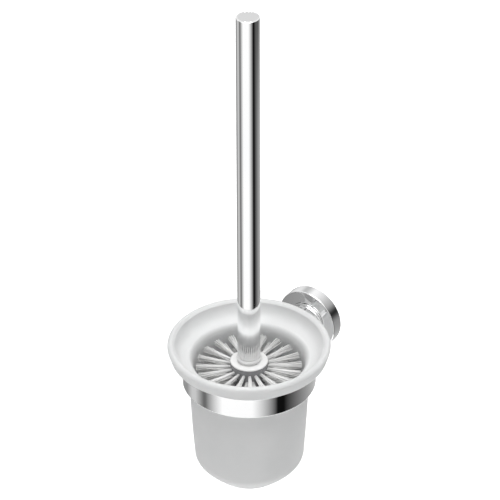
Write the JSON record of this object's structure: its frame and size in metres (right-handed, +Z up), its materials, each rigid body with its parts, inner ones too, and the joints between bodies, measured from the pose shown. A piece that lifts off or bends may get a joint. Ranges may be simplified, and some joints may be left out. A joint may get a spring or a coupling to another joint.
{
  "type": "toilet brush holder",
  "caption": "Wall-held toilet brush set: round rosette, short arm and ring that carry a frosted glass cup with a wide rolled lip, and a brush with a long straight tube handle.",
  "frame": {"origin": "centre of the bracket's back face, on the wall, level with the middle of the ring", "axes": "+Y into the wall, +Z up, +X to the right seen from the room"},
  "size_m": [0.1134, 0.1394, 0.3682],
  "materials": {
    "chrome": "polished chrome plate",
    "zinc_steel": "zinc plated",
    "frosted_glass": "satin frosted",
    "white_plastic": "moulded",
    "bristle": "nylon bristle",
    "clear_liner": "soft moulded"
  },
  "bodies": {
    "bracket": {"wall_plate": "zinc_steel", "rosette": "chrome", "rosette_set_screw": "zinc_steel", "arm_collar": "chrome", "arm": "chrome", "arm_rear_screw": "zinc_steel", "arm_front_screw": "zinc_steel", "holder_ring": "chrome", "ring_cushion": "clear_liner"},
    "cup": {"glass_cup": "frosted_glass"},
    "brush_head": {"brush_core": "white_plastic", "head_stud": "zinc_steel", "bristle_tier_1": "bristle", "bristle_tier_2": "bristle", "bristle_tier_3": "bristle", "bristle_tier_4": "bristle"},
    "ferrule": {"handle_ferrule": "white_plastic"},
    "handle": {"handle_tube": "chrome", "handle_insert": "zinc_steel", "handle_top_plug": "chrome"}
  },
  "joints": [
    {"name": "cup_lift", "type": "slide", "parent": "bracket", "child": "cup", "axis": [0, 0, 1], "range_m": [0, 0.11]},
    {"name": "brush_lift", "type": "slide", "parent": "cup", "child": "brush_head", "axis": [0, 0, 1], "range_m": [0, 0.125]},
    {"name": "handle_rise", "type": "slide", "parent": "brush_head", "child": "ferrule", "axis": [0, 0, 1], "range_m": [0, 0.009]},
    {"name": "handle_unscrew", "type": "hinge", "parent": "ferrule", "child": "handle", "pos_m": [0, -0.0827, 0.1], "axis": [0, 0, 1], "range_deg": [0, 2592]}
  ],
  "couplings": [
    {"joint": "handle_rise", "follows": "handle_unscrew", "m_per_rad": 0.00019894}
  ]
}
